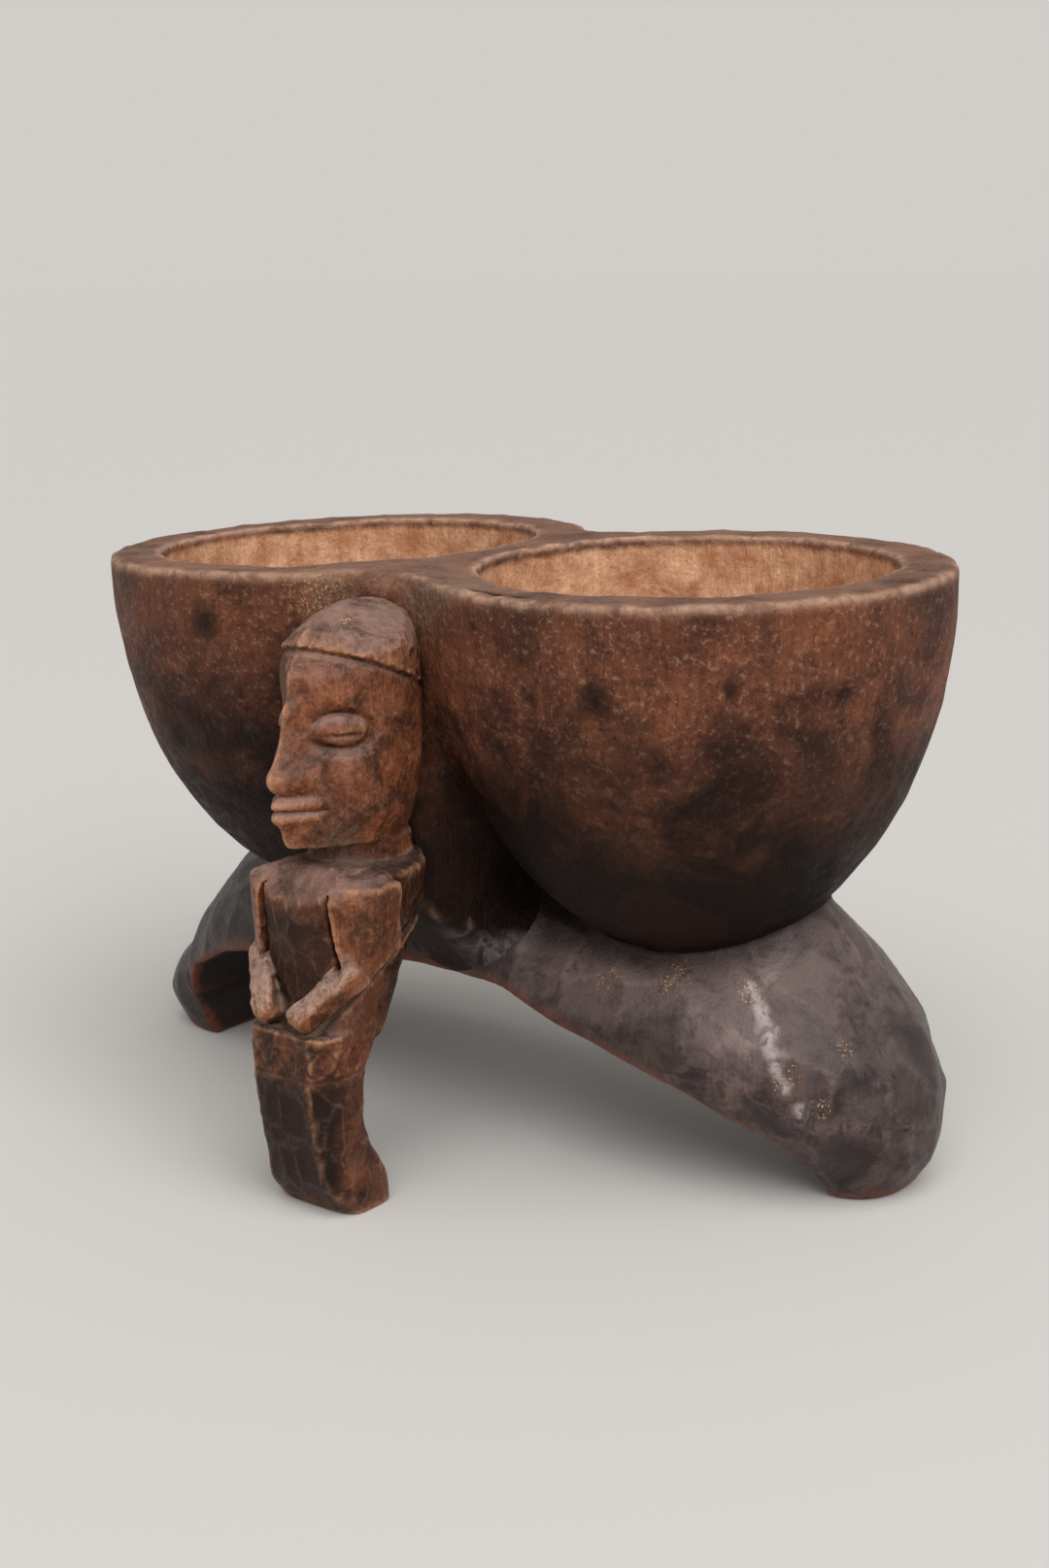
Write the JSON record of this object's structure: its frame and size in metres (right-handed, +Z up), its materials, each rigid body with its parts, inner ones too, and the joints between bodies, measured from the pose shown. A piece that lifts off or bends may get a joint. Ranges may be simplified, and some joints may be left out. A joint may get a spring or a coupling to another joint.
{
  "type": "carved double drinking cup",
  "caption": "Carved hardwood palm wine cup: deep bowls side by side, carried by a standing figure in a close cap and by broad flared legs.",
  "frame": {"origin": "on the ground, under the middle of the cup's outer box", "axes": "+X along the pair of bowls, towards the bowl on the figure's left; +Y away from the figure's front; +Z up"},
  "size_m": [0.2172, 0.1336, 0.129],
  "materials": {
    "bowl_wood": "hand-cut hardwood, dark handled patina, satin",
    "leg_wood": "hand-cut hardwood, greyed and polished by handling",
    "figure_wood": "hand-cut hardwood, red-brown patina, worn on the high spots"
  },
  "bodies": {
    "root": {"bowl_right": "bowl_wood", "bowl_left": "bowl_wood", "spine": "bowl_wood", "leg_right": "leg_wood", "leg_left": "leg_wood", "figure_lower_body": "figure_wood", "figure_torso": "figure_wood", "figure_arm_right": "figure_wood", "figure_arm_left": "figure_wood", "figure_head": "figure_wood", "figure_cap": "figure_wood"}
  },
  "joints": []
}
